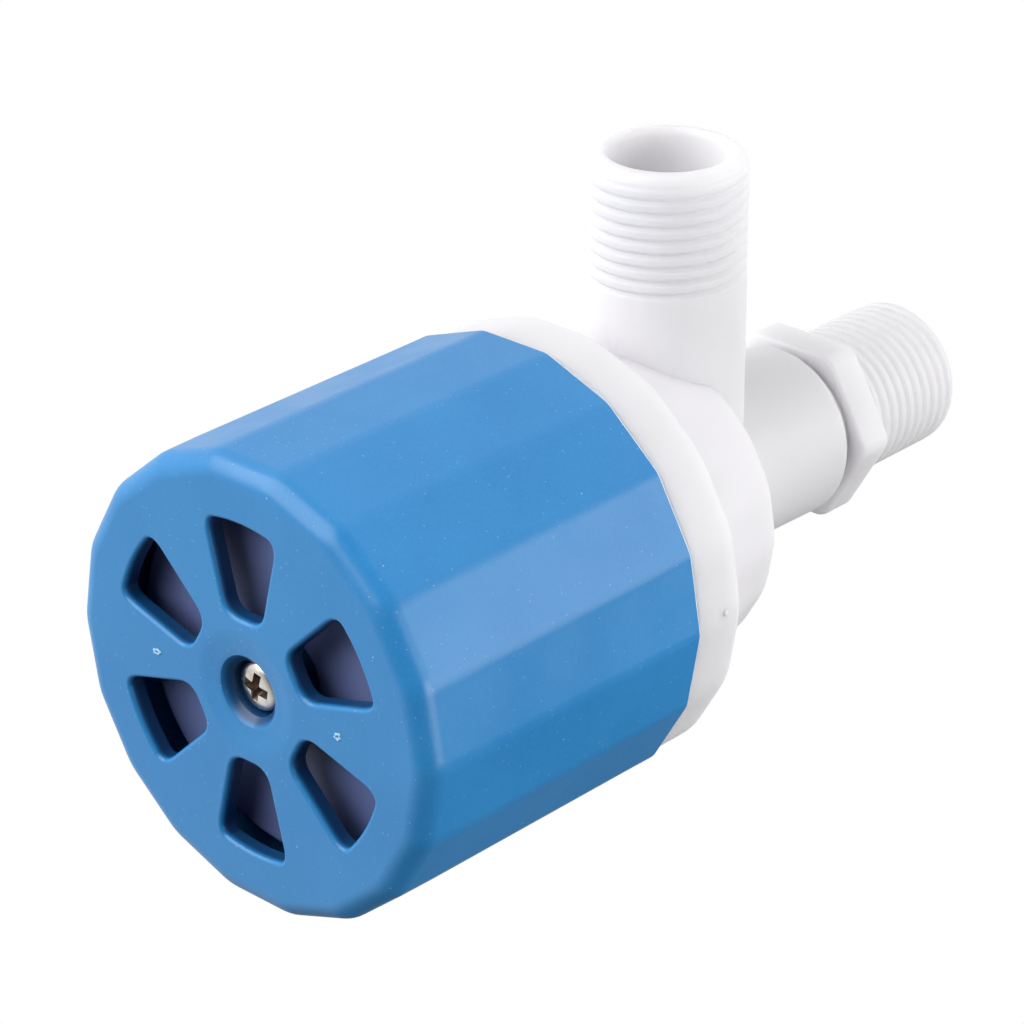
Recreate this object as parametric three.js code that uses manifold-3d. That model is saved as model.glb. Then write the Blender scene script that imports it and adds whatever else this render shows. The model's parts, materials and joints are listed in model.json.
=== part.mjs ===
// Float valve: a faceted blue cup with a float inside, hung under a white two-port valve body.
// The float works a small pilot lever, and the pilot lets a spring-loaded diaphragm open or close.
// Millimetres. The parts are laid out with z = 0 on the cup's bottom face and +Z up the common axis,
// with the side outlet along +X. The whole group is then lowered so that the origin lies on the axis
// at the top shoulder of the inlet hexagon, where the valve hangs from its pipe.
import * as THREE from "three";
import { mergeVertices } from "three/addons/utils/BufferGeometryUtils.js";
import Module from "manifold-3d";

const wasm = await Module();
wasm.setup();

// ---------------------------------------------------------------- driving dimensions

const FACETS = 18; // flats round the cup, the flange and the drum
const FACET_PHASE = 10; // degrees from +X to the first corner, so that a flat faces the outlet
const GAP = 0.3; // clearance between neighbouring pieces

// G1/2 pipe thread, 14 threads to the inch.
const THREAD = { crestR: 10.45, rootR: 9.3, pitch: 1.814, baseHalf: 0.84, crestHalf: 0.34, steps: 20 };

const CUP = {
  faceR: 30.3, // corner radius at the bottom
  rimR: 30.7, // corner radius at the rim
  height: 47.75,
  wall: 2.05,
  floor: 2.5,
  edgeR: 3.0, // rounding between face and side
};
const WINDOW = { count: 6, innerR: 9.6, outerR: 22.2, halfAtAxis: 0.57, flare: 0.245, cornerR: 1.5 };
const RECESS = { mouthR: 4.35, throatR: 3.4, coneDepth: 1.6, floorZ: 4.4, bossR: 5.6, bossTop: 6.8 };

const POST = { r: 3.0, bottom: RECESS.bossTop + GAP, top: 40.7, stopR: 5.5, stopThick: 1.3 };
const FLOAT = { r: 24.2, bottom: 6.0, wall: 1.2, shellTop: 27.7, lidTop: 29.0, boreR: 3.6, travel: 10 };

const COVER = { r: 25.8, bottom: 48.6, top: 54.0, chamberR: 15.8, chamberZ: 50.4, bossR: 6, bossZ: 41 };
const WELL = { r: 4.7, z: 44.8 };
const COVER_SCREW = { count: 6, circleR: 19.6, shankR: 1.45, headR: 2.7, headThick: 1.6, tip: 62 };

const DIAPHRAGM = { r: 25.4, bottom: 54.3, top: 55.4, boreR: 2.3 };
const CLAMP_Z = DIAPHRAGM.top + GAP; // body face that pinches the diaphragm
const SEAT = { boreR: 6.5, outerR: 8.3, collarR: 9.0, z: 57.3, collarZ: 84.3, top: 86.1 };
const PLUNGER = { plateR: 9.4, plateTop: 54.0, plateThick: 1.1, stemR: 2.0, bleedR: 0.5, travel: 2 };

const BODY = {
  flangeR: 30.1,
  flangeBottom: 48.2,
  flangeTop: 57.0,
  drumBaseR: 24.2,
  drumTopR: 21.6,
  drumTop: 76.0,
  neckBaseR: 11.7,
  neckTopR: 12.1,
  neckTop: 101.4,
  spigotR: 27.5,
  spigotZ: 46.0,
  chamberR: 15.8,
  chamberTop: 74,
  socketR: 9.3,
  socketZ: SEAT.collarZ - GAP,
};
const PORT = { z: 76.4, shankR: 10.5, boreR: 8.0, threadStart: 29.8, collarStart: 45.2, end: 47.5 };
const NIPPLE = {
  bottom: 86.4,
  stubR: 9.0,
  hexZ: 102.7,
  shoulderZ: 108.2,
  hexFlats: 24,
  hexCornerR: 2.4,
  neckR: 9.6,
  threadStart: 109.6,
  collarStart: 125.7,
  end: 127.6,
  boreR: 7.5,
  lowerBoreR: 6.5,
  boreStepZ: 104,
};

// Pilot lever, beside the guide post. It hangs from the cover and is carried by the float's pin.
const LEVER = {
  y: 9, // middle plane
  thick: 2.6,
  pivotX: -12,
  pivotZ: 43.5,
  reach: 20, // horizontal distance from the pivot to the float's pin
  half: 2.0, // half depth of the bar
  sealX: 5, // distance of the seal from the pivot
};
const PIN = { r: 1.0, holeR: 1.12, half: 3.2 };
const LUG = { half: 1.8, inner: 1.6, thick: 1.2 }; // inner: half the space between a pair of lugs
// The lever is level with the float at the top of its travel.
const LEVER_TILT = Math.atan(FLOAT.travel / LEVER.reach);

// ---------------------------------------------------------------- materials

const plastic = (color, roughness) => new THREE.MeshStandardMaterial({ color, roughness, metalness: 0 });
const MATERIAL = {
  bluePlastic: plastic(0x4b93cc, 0.42),
  whitePlastic: plastic(0xe9e7ea, 0.38),
  floatPlastic: plastic(0x23253a, 0.55),
  rubber: plastic(0x26262a, 0.8),
  steel: new THREE.MeshStandardMaterial({ color: 0xc9c7c2, roughness: 0.25, metalness: 1 }),
};

// ---------------------------------------------------------------- solid helpers

// A three.js geometry as a manifold solid, with its faces turned outwards.
function solid(geometry) {
  const bare = geometry.clone();
  bare.deleteAttribute("normal");
  bare.deleteAttribute("uv");
  const merged = mergeVertices(bare, 1e-4);
  const corners = merged.index.array;
  const kept = [];
  for (let i = 0; i < corners.length; i += 3) {
    const [a, b, c] = corners.slice(i, i + 3);
    if (a !== b && b !== c && c !== a) kept.push([a, b, c]);
  }
  const build = (triangles) =>
    new wasm.Manifold(
      new wasm.Mesh({
        numProp: 3,
        vertProperties: merged.attributes.position.array,
        triVerts: Uint32Array.from(triangles.flat()),
      }),
    );
  const made = build(kept);
  return made.volume() > 0 ? made : build(kept.map(([a, b, c]) => [a, c, b]));
}

// A manifold solid as a three.js geometry.
function geometryOf(made) {
  const mesh = made.getMesh();
  const geometry = new THREE.BufferGeometry();
  geometry.setAttribute("position", new THREE.BufferAttribute(mesh.vertProperties, 3));
  geometry.setIndex(new THREE.BufferAttribute(mesh.triVerts, 1));
  const flat = geometry.toNonIndexed();
  flat.computeVertexNormals();
  return flat;
}

// A closed [radius, height] profile turned about the z axis. phase is the angle of the first corner.
function turned(profile, segments = 36, phase = 0) {
  const points = [...profile, profile[0]].map(([r, z]) => new THREE.Vector2(r, z));
  const start = THREE.MathUtils.degToRad(phase + 90);
  const lathe = new THREE.LatheGeometry(points, segments, start, 2 * Math.PI);
  lathe.rotateX(Math.PI / 2);
  return solid(lathe);
}

const faceted = (profile) => turned(profile, FACETS, FACET_PHASE);

// A disc, ring or tube between two heights.
function ring(innerR, outerR, bottom, top, segments = 36) {
  return turned([[innerR, bottom], [outerR, bottom], [outerR, top], [innerR, top]], segments);
}

const rod = (r, bottom, top, segments = 20) => ring(0, r, bottom, top, segments);

// A flat outline in x and z, given a thickness along y about y = 0.
function plateXZ(shape, thickness, curveSegments = 10) {
  const plate = new THREE.ExtrudeGeometry(shape, { depth: thickness, bevelEnabled: false, curveSegments });
  plate.translate(0, 0, -thickness / 2);
  plate.rotateX(Math.PI / 2);
  return solid(plate);
}

// Points on a circle, spaced evenly from a first angle in degrees.
function onCircle(count, radius, firstAngle = 0) {
  return Array.from({ length: count }, (_, i) => {
    const angle = THREE.MathUtils.degToRad(firstAngle + (360 * i) / count);
    return [radius * Math.cos(angle), radius * Math.sin(angle)];
  });
}

// A closed outline through the corners, with each corner rounded.
function roundedOutline(corners, radius) {
  const shape = new THREE.Shape();
  corners.forEach((corner, i) => {
    const before = corners[(i + corners.length - 1) % corners.length];
    const after = corners[(i + 1) % corners.length];
    const from = corner.clone().add(before.clone().sub(corner).setLength(radius));
    const to = corner.clone().add(after.clone().sub(corner).setLength(radius));
    if (i === 0) shape.moveTo(from.x, from.y);
    else shape.lineTo(from.x, from.y);
    shape.quadraticCurveTo(corner.x, corner.y, to.x, to.y);
  });
  shape.closePath();
  return shape;
}

// Wraps a straight bar, built along its own y axis, round the z axis as a coil that rises by one
// pitch a turn. section(t, x, z) gives the radius and the height above the coil's centre line.
function coiled(bar, turns, pitch, section) {
  const place = bar.attributes.position;
  for (let i = 0; i < place.count; i += 1) {
    const t = place.getY(i) + turns / 2;
    const angle = 2 * Math.PI * t;
    const { r, dz } = section(t, place.getX(i), place.getZ(i));
    place.setXYZ(i, r * Math.cos(angle), r * Math.sin(angle), pitch * t + dz);
  }
  return solid(bar);
}

// A right-hand thread ridge that rises from z = 0 and fades out at both ends.
function threadRidge(length) {
  const turns = Math.round(length / THREAD.pitch - 1);
  const bar = new THREE.BoxGeometry(1, turns, 1, 1, turns * THREAD.steps, 1);
  const depth = THREAD.crestR - THREAD.rootR;
  const ridge = coiled(bar, turns, THREAD.pitch, (t, x, z) => {
    const fade = Math.min(1, 0.08 + t / 0.5, 0.08 + (turns - t) / 0.5);
    const crest = x > 0;
    const r = crest ? THREAD.rootR + depth * fade : THREAD.rootR - 0.3;
    return { r, dz: 2 * z * (crest ? THREAD.crestHalf : THREAD.baseHalf) };
  });
  return ridge.translate([0, 0, THREAD.pitch / 2]);
}

// ---------------------------------------------------------------- cup

function cupOuter() {
  const { faceR, rimR, height, edgeR } = CUP;
  const rounded = [0, 22.5, 45, 67.5, 90].map((degrees) => {
    const angle = THREE.MathUtils.degToRad(degrees);
    return [faceR - edgeR + edgeR * Math.sin(angle), edgeR - edgeR * Math.cos(angle)];
  });
  return faceted([[0, 0], ...rounded, [rimR, height - 0.3], [rimR - 0.3, height], [0, height]]);
}

function cupInner() {
  const { faceR, rimR, height, wall, floor } = CUP;
  const lower = faceR - wall;
  const upper = rimR - wall;
  const rounded = [[lower - 1.5, floor], [lower, floor + 1.5]];
  return faceted([[0, floor], ...rounded, [upper, height + 1], [0, height + 1]]);
}

// One wedge-shaped window, narrow end inwards, centred on +X.
function windowCutter() {
  const halfWidth = (r) => WINDOW.halfAtAxis + WINDOW.flare * r;
  const cornerX = Math.sqrt(WINDOW.outerR ** 2 - halfWidth(WINDOW.outerR) ** 2);
  const corners = [
    new THREE.Vector2(WINDOW.innerR, -halfWidth(WINDOW.innerR)),
    new THREE.Vector2(cornerX, -halfWidth(cornerX)),
    new THREE.Vector2(WINDOW.outerR + 0.1, 0),
    new THREE.Vector2(cornerX, halfWidth(cornerX)),
    new THREE.Vector2(WINDOW.innerR, halfWidth(WINDOW.innerR)),
  ];
  const shape = roundedOutline(corners, WINDOW.cornerR);
  const through = { depth: CUP.floor + 2, bevelEnabled: false, curveSegments: 4 };
  return solid(new THREE.ExtrudeGeometry(shape, through));
}

function cupHousing() {
  const { mouthR, throatR, coneDepth, floorZ, bossR, bossTop } = RECESS;
  let cup = cupOuter().subtract(cupInner());
  cup = cup.add(rod(bossR, CUP.floor - 0.5, bossTop, 36));
  const recess = turned([
    [0, -1],
    [mouthR, -1],
    [mouthR, 0],
    [throatR, coneDepth],
    [throatR, floorZ],
    [0, floorZ],
  ]);
  cup = cup.subtract(recess).subtract(rod(1.75, 0, bossTop + 1));
  const cutter = windowCutter();
  for (let i = 0; i < WINDOW.count; i += 1) {
    cup = cup.subtract(cutter.translate([0, 0, -1]).rotate([0, 0, (360 * i) / WINDOW.count]));
  }
  return cup;
}

// Pan-head screw with a cross recess, head down.
function cupScrew() {
  const headBottom = 2.05;
  const headTop = RECESS.floorZ - 0.1;
  const domeEdge = [[2.3, headBottom + 0.45], [2.85, headBottom + 1.0]];
  const dome = [[0, headBottom], [1.4, headBottom + 0.12], ...domeEdge];
  const shank = [[1.45, headTop], [1.45, 16.5], [0, 17.6]];
  const body = turned([...dome, [3.0, headTop - 0.6], [3.0, headTop], ...shank], 28);
  const slot = solid(new THREE.BoxGeometry(3.4, 0.75, 1.3)).translate([0, 0, headBottom + 0.55]);
  const socket = turned(
    [[0, headBottom - 1], [0.9, headBottom - 1], [0.9, headBottom + 1.0], [0, headBottom + 1.7]],
    12,
  );
  return body
    .subtract(slot.rotate([0, 0, 28]))
    .subtract(slot.rotate([0, 0, 118]))
    .subtract(socket);
}

// ---------------------------------------------------------------- float

function floatShell() {
  const { r, bottom, wall, shellTop, boreR } = FLOAT;
  const inside = bottom + wall + 0.2;
  const recessR = RECESS.bossR + 1;
  const recessZ = RECESS.bossTop + GAP;
  return turned(
    [
      [recessR, bottom],
      [r - 0.8, bottom],
      [r, bottom + 0.8],
      [r, shellTop],
      [r - wall, shellTop],
      [r - wall, inside],
      [recessR + wall, inside],
      [recessR + wall, recessZ + wall + 0.3],
      [boreR + wall, recessZ + wall + 0.3],
      [boreR + wall, shellTop],
      [boreR, shellTop],
      [boreR, recessZ],
      [recessR, recessZ],
    ],
    48,
  );
}

// A pair of lugs with their eye at the origin. reach is the signed height to the plate they stand on.
function lugPair(reach) {
  const shape = new THREE.Shape();
  const up = reach > 0;
  shape.moveTo(-LUG.half, reach);
  shape.lineTo(-LUG.half, 0);
  shape.absarc(0, 0, LUG.half, Math.PI, up ? 2 * Math.PI : 0, !up);
  shape.lineTo(LUG.half, reach);
  shape.closePath();
  shape.holes.push(new THREE.Path().absarc(0, 0, PIN.holeR, 0, 2 * Math.PI));
  const lug = plateXZ(shape, LUG.thick, 8);
  const offset = LUG.inner + LUG.thick / 2;
  return lug.translate([0, offset, 0]).add(lug.translate([0, -offset, 0]));
}

const FLOAT_PIN = [LEVER.pivotX + LEVER.reach, LEVER.y, LEVER.pivotZ - FLOAT.travel];
const LEVER_PIN = [LEVER.pivotX, LEVER.y, LEVER.pivotZ];

function floatLid() {
  const { r, shellTop, lidTop, boreR } = FLOAT;
  const plate = ring(boreR, r, shellTop + GAP, lidTop, 48);
  const reach = lidTop - 0.2 - FLOAT_PIN[2];
  return plate.add(lugPair(reach).translate(FLOAT_PIN));
}

function crossPin(position) {
  const pin = new THREE.CylinderGeometry(PIN.r, PIN.r, 2 * PIN.half, 16);
  return solid(pin).translate(position);
}

// ---------------------------------------------------------------- guide post and pilot lever

function guidePost() {
  const { r, bottom, top, stopR, stopThick } = POST;
  const stub = [2.0, COVER.bossZ + 2.6];
  const stop = [[r, top - stopThick], [stopR, top - stopThick], [stopR, top]];
  const post = turned([[0, bottom], [r, bottom], ...stop, [stub[0], top], stub, [0, stub[1]]], 28);
  return post.subtract(rod(1.6, bottom - 1, 18.5, 16));
}

// The lever in its own frame: pivot at the origin, bar along +X, level.
function leverBar() {
  const slotStart = LEVER.reach - 1.3;
  const slotEnd = Math.hypot(LEVER.reach, FLOAT.travel) + 1.3;
  const slotHalf = PIN.r + 0.36;
  const { half } = LEVER;
  const bar = new THREE.Shape();
  bar.moveTo(0, -half);
  bar.lineTo(slotEnd, -half - 0.3);
  bar.absarc(slotEnd, 0, half + 0.3, -Math.PI / 2, Math.PI / 2, false);
  bar.lineTo(0, half);
  bar.absarc(0, 0, half, Math.PI / 2, (3 * Math.PI) / 2, false);
  const slot = new THREE.Path();
  slot.moveTo(slotStart, -slotHalf);
  slot.lineTo(slotEnd, -slotHalf);
  slot.absarc(slotEnd, 0, slotHalf, -Math.PI / 2, Math.PI / 2, false);
  slot.lineTo(slotStart, slotHalf);
  slot.absarc(slotStart, 0, slotHalf, Math.PI / 2, (3 * Math.PI) / 2, false);
  bar.holes.push(slot, new THREE.Path().absarc(0, 0, PIN.holeR, 0, 2 * Math.PI));
  return plateXZ(bar, LEVER.thick, 8);
}

// Tips a piece of the lever down to its resting slope and puts it on the pivot.
function onLever(piece) {
  return piece.rotate([0, THREE.MathUtils.radToDeg(LEVER_TILT), 0]).translate(LEVER_PIN);
}

function pilotLever() {
  const pocket = rod(1.25, LEVER.half - 0.7, LEVER.half + 1, 20).translate([LEVER.sealX, 0, 0]);
  return onLever(leverBar().subtract(pocket));
}

function pilotSeal() {
  return onLever(rod(1.05, LEVER.half - 0.6, LEVER.half + 1.1, 20).translate([LEVER.sealX, 0, 0]));
}

// ---------------------------------------------------------------- cover, diaphragm and plunger

function valveCover() {
  const { r, bottom, top, chamberR, chamberZ, bossR, bossZ } = COVER;
  const stubHole = [2.2, bossZ + 3];
  let cover = turned([
    [stubHole[0], bossZ],
    [bossR, bossZ],
    [bossR, bottom],
    [r, bottom],
    [r, top],
    [chamberR, top],
    [chamberR, chamberZ],
    [WELL.r, chamberZ],
    [WELL.r, WELL.z],
    [0, WELL.z],
    [0, stubHole[1]],
    stubHole,
  ]);
  const nozzleTip = LEVER.pivotZ + LEVER.half + 1.1 + 0.15;
  const nozzle = turned([[0, nozzleTip], [0.95, nozzleTip], [1.6, bottom + 0.2], [0, bottom + 0.2]], 20);
  const nozzlePlace = [LEVER.pivotX + LEVER.sealX, LEVER.y, 0];
  cover = cover.add(nozzle.translate(nozzlePlace));
  cover = cover.subtract(rod(0.55, bottom - 5, top, 12).translate(nozzlePlace));
  const lugs = lugPair(bottom + 0.2 - LEVER.pivotZ).translate(LEVER_PIN);
  cover = cover.add(lugs);
  for (const [x, y] of onCircle(COVER_SCREW.count, COVER_SCREW.circleR)) {
    cover = cover.subtract(rod(COVER_SCREW.shankR + 0.2, bottom - 1, top + 1, 16).translate([x, y, 0]));
  }
  return cover;
}

function coverScrew([x, y]) {
  const { shankR, headR, headThick, tip } = COVER_SCREW;
  const headTop = COVER.bottom - GAP;
  const headBottom = headTop - headThick;
  const profile = [
    [0, headBottom],
    [headR - 0.6, headBottom],
    [headR, headBottom + 0.5],
    [headR, headTop],
    [shankR, headTop],
    [shankR, tip - 1],
    [0, tip],
  ];
  const slot = solid(new THREE.BoxGeometry(2.8, 0.6, 1.2)).translate([0, 0, headBottom]);
  const screw = turned(profile, 16).subtract(slot).subtract(slot.rotate([0, 0, 90]));
  return screw.translate([x, y, 0]);
}

function diaphragm() {
  const { r, bottom, top, boreR } = DIAPHRAGM;
  const web = turned(
    [
      [boreR, bottom],
      [10.0, bottom],
      [11.2, bottom - 1.1],
      [12.5, bottom - 1.5],
      [13.8, bottom - 1.1],
      [15.0, bottom],
      [r, bottom],
      [r, top],
      [15.0, top],
      [13.6, bottom - 0.1],
      [12.5, bottom - 0.5],
      [11.4, bottom - 0.1],
      [10.0, top],
      [boreR, top],
    ],
    28,
  );
  return onCircle(COVER_SCREW.count, COVER_SCREW.circleR).reduce(
    (sheet, [x, y]) =>
      sheet.subtract(rod(COVER_SCREW.shankR + 0.3, bottom - 1, top + 1, 12).translate([x, y, 0])),
    web,
  );
}

const SEAL_DISC = { r: 9.0, bottom: CLAMP_Z, top: SEAT.z - GAP };

function plungerPlate() {
  const { plateR, plateTop, plateThick, stemR, bleedR } = PLUNGER;
  const underside = plateTop - plateThick;
  const stemTop = SEAT.z + 1.5;
  return turned([
    [bleedR, underside - 2.1],
    [2.2, underside - 2.1],
    [2.2, underside],
    [plateR, underside],
    [plateR, plateTop],
    [stemR, plateTop],
    [stemR, stemTop],
    [bleedR, stemTop],
  ], 32);
}

const sealDisc = () => ring(DIAPHRAGM.boreR, SEAL_DISC.r, SEAL_DISC.bottom, SEAL_DISC.top, 32);
const plungerCap = () =>
  turned(
    [[2.2, SEAT.z], [5.2, SEAT.z], [5.2, SEAT.z + 0.7], [4.7, SEAT.z + 1.2], [2.2, SEAT.z + 1.2]],
    28,
  );

function mainSpring() {
  const wireR = 0.35;
  const meanR = 3.5;
  const bottom = WELL.z + GAP + wireR;
  const top = PLUNGER.plateTop - PLUNGER.plateThick - 0.2 - wireR;
  const turns = 5;
  const wire = new THREE.CylinderGeometry(wireR, wireR, turns, 6, turns * 13);
  const spring = coiled(wire, turns, (top - bottom) / turns, (t, x, z) => ({ r: meanR + x, dz: z }));
  return spring.translate([0, 0, bottom]);
}

// ---------------------------------------------------------------- valve body

function bodyOuter() {
  const { flangeR, flangeBottom, flangeTop, drumBaseR, drumTopR, drumTop } = BODY;
  const { neckBaseR, neckTopR, neckTop } = BODY;
  const flange = faceted([
    [0, flangeBottom],
    [flangeR, flangeBottom],
    [flangeR, flangeTop - 0.9],
    [flangeR - 0.3, flangeTop - 0.3],
    [flangeR - 1.0, flangeTop],
    [0, flangeTop],
  ]);
  const drum = faceted([
    [0, flangeTop - 1],
    [drumBaseR, flangeTop - 1],
    [drumTopR, drumTop - 1.5],
    [drumTopR - 0.6, drumTop - 0.5],
    [drumTopR - 1.7, drumTop],
    [0, drumTop],
  ]);
  const neck = turned([
    [0, drumTop - 1],
    [neckBaseR, drumTop - 1],
    [neckTopR, neckTop - 1.1],
    [neckTopR - 0.35, neckTop - 0.35],
    [neckTopR - 1.1, neckTop],
    [0, neckTop],
  ], 44);
  const spigot = rod(BODY.spigotR, BODY.spigotZ, flangeBottom + 1, 48);
  return flange.add(drum).add(neck).add(spigot);
}

// The outlet branch, built along +Z and then laid along +X.
const alongX = (piece) => piece.rotate([0, 90, 0]).translate([0, 0, PORT.z]);

function outletBranch() {
  const { shankR, threadStart, collarStart, end } = PORT;
  const branch = turned([
    [0, 6],
    [shankR, 6],
    [shankR, threadStart],
    [THREAD.rootR, threadStart + 0.6],
    [THREAD.rootR, collarStart],
    [THREAD.crestR - 0.1, collarStart + 0.5],
    [THREAD.crestR - 0.1, end - 0.9],
    [THREAD.crestR - 0.4, end - 0.3],
    [THREAD.crestR - 1.1, end],
    [0, end],
  ], THREAD.steps);
  const ridge = threadRidge(collarStart - threadStart + 0.6).translate([0, 0, threadStart - 0.3]);
  return alongX(branch.add(ridge));
}

function valveBody() {
  const { chamberR, chamberTop, socketR, socketZ, neckTop, spigotZ } = BODY;
  let body = bodyOuter().add(outletBranch());
  body = body.subtract(rod(COVER.r + 0.4, spigotZ - 1, CLAMP_Z, 48));
  body = body.subtract(rod(chamberR, CLAMP_Z - 1, chamberTop, 44));
  body = body.subtract(rod(SEAT.outerR + GAP, CLAMP_Z - 1, socketZ + 1, 44));
  body = body.subtract(rod(socketR, socketZ, neckTop + 1, 44));
  body = body.subtract(alongX(rod(PORT.boreR, 10.4, PORT.end + 1, 40)));
  for (const [x, y] of onCircle(COVER_SCREW.count, COVER_SCREW.circleR)) {
    const hole = rod(COVER_SCREW.shankR + 0.15, CLAMP_Z - 1, COVER_SCREW.tip + 1, 16);
    body = body.subtract(hole.translate([x, y, 0]));
  }
  return body;
}

// The tube that carries the main seat. Its collar rests on a step in the neck, under the nipple.
function seatTube() {
  const { boreR, outerR, collarR, z, collarZ, top } = SEAT;
  const collar = [[outerR, collarZ], [collarR, collarZ], [collarR, top]];
  return turned([[boreR, z], [outerR, z], ...collar, [boreR, top]]);
}

// ---------------------------------------------------------------- inlet nipple

function hexagon() {
  const { hexFlats, hexCornerR, hexZ, shoulderZ } = NIPPLE;
  const corners = onCircle(6, hexFlats / Math.sqrt(3), 30).map(([x, y]) => new THREE.Vector2(x, y));
  const bevel = 0.4;
  const prism = new THREE.ExtrudeGeometry(roundedOutline(corners, hexCornerR), {
    depth: shoulderZ - hexZ - 2 * bevel,
    bevelThickness: bevel,
    bevelSize: bevel,
    bevelOffset: -bevel,
    bevelSegments: 2,
    curveSegments: 5,
  });
  return solid(prism).translate([0, 0, hexZ + bevel]);
}

function inletNipple() {
  const { bottom, stubR, hexZ, shoulderZ, neckR } = NIPPLE;
  const { threadStart, collarStart, end, boreR, lowerBoreR, boreStepZ } = NIPPLE;
  const stub = turned([
    [0, bottom],
    [stubR - 0.6, bottom],
    [stubR, bottom + 0.6],
    [stubR, 89.0],
    [7.9, 89.0],
    [7.9, 90.8],
    [stubR, 90.8],
    [stubR, hexZ + 1],
    [0, hexZ + 1],
  ]);
  const core = turned([
    [0, shoulderZ - 1],
    [neckR, shoulderZ - 1],
    [neckR, threadStart - 0.6],
    [THREAD.rootR, threadStart],
    [THREAD.rootR, collarStart],
    [THREAD.crestR - 0.1, collarStart + 0.5],
    [THREAD.crestR - 0.1, end - 0.8],
    [THREAD.crestR - 0.4, end - 0.25],
    [THREAD.crestR - 1.0, end],
    [0, end],
  ], THREAD.steps);
  const ridge = threadRidge(collarStart - threadStart + 1.1).translate([0, 0, threadStart - 0.8]);
  const bore = turned([
    [0, bottom - 1],
    [lowerBoreR, bottom - 1],
    [lowerBoreR, boreStepZ],
    [boreR, boreStepZ],
    [boreR, end + 1],
    [0, end + 1],
  ]);
  return stub.add(hexagon()).add(core).add(ridge).subtract(bore);
}

function nippleRing() {
  const torus = new THREE.TorusGeometry(8.55, 0.58, 6, 28);
  return solid(torus).translate([0, 0, 89.9]);
}

const nippleGasket = () => ring(9.4, 10.9, BODY.neckTop + 0.25, NIPPLE.hexZ - 0.25, 36);

// A flat strainer that drops on the step in the nipple's bore.
function inletStrainer() {
  const bottom = NIPPLE.boreStepZ + GAP;
  const top = bottom + 1.2;
  const disc = rod(NIPPLE.boreR - GAP, bottom, top, 32);
  const holes = [[0, 0], ...onCircle(6, 2.6), ...onCircle(8, 5.2, 15)];
  return holes.reduce(
    (plate, [x, y]) => plate.subtract(rod(0.75, bottom - 1, top + 1, 8).translate([x, y, 0])),
    disc,
  );
}

// ---------------------------------------------------------------- assembly

const valve = new THREE.Group();
valve.name = "float_valve";

function place(name, made, material) {
  const mesh = new THREE.Mesh(geometryOf(made), material);
  mesh.name = name;
  valve.add(mesh);
}

place("cup_housing", cupHousing(), MATERIAL.bluePlastic);
place("cup_screw", cupScrew(), MATERIAL.steel);
place("float_shell", floatShell(), MATERIAL.floatPlastic);
place("float_lid", floatLid(), MATERIAL.floatPlastic);
place("float_pin", crossPin(FLOAT_PIN), MATERIAL.steel);
place("guide_post", guidePost(), MATERIAL.whitePlastic);
place("pilot_lever", pilotLever(), MATERIAL.whitePlastic);
place("lever_pin", crossPin(LEVER_PIN), MATERIAL.steel);
place("pilot_seal", pilotSeal(), MATERIAL.rubber);
place("valve_cover", valveCover(), MATERIAL.whitePlastic);
onCircle(COVER_SCREW.count, COVER_SCREW.circleR).forEach((centre, i) => {
  place(`cover_screw_${i + 1}`, coverScrew(centre), MATERIAL.steel);
});
place("diaphragm", diaphragm(), MATERIAL.rubber);
place("plunger_plate", plungerPlate(), MATERIAL.whitePlastic);
place("seal_disc", sealDisc(), MATERIAL.rubber);
place("plunger_cap", plungerCap(), MATERIAL.whitePlastic);
place("main_spring", mainSpring(), MATERIAL.steel);
place("valve_body", valveBody(), MATERIAL.whitePlastic);
place("seat_tube", seatTube(), MATERIAL.whitePlastic);
place("inlet_nipple", inletNipple(), MATERIAL.whitePlastic);
place("nipple_ring", nippleRing(), MATERIAL.rubber);
place("nipple_gasket", nippleGasket(), MATERIAL.whitePlastic);
place("inlet_strainer", inletStrainer(), MATERIAL.steel);

valve.position.z = -NIPPLE.shoulderZ;

export default valve;
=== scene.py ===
"""Looks of the float valve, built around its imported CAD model.

Pieces are modelled in millimetres, with z measured from the bottom face of the cup, and are moved into
the row frame (metres, origin at the top shoulder of the inlet hexagon) when they are finished.
"""

import json
import math

import bmesh
import bpy
from mathutils import Matrix, Vector


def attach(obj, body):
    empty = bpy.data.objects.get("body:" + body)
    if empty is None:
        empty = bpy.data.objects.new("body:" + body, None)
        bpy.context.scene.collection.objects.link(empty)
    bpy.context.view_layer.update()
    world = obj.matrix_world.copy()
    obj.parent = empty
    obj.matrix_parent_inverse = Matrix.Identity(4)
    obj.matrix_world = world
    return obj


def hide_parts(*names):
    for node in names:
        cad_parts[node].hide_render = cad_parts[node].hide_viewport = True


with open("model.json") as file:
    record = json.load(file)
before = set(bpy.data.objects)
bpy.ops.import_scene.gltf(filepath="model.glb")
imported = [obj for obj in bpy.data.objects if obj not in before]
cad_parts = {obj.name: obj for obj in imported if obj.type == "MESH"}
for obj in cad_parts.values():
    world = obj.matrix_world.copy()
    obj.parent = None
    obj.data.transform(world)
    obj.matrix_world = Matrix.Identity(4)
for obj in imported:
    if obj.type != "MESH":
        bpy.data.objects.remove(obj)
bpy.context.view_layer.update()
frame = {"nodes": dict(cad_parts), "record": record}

# ---------------------------------------------------------------- dimensions, in millimetres

SHOULDER = 108.2
FACETS = 18
FACET_PHASE = 10.0  # degrees to the first corner
INNER = math.cos(math.pi / FACETS)  # flat distance over corner distance

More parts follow.
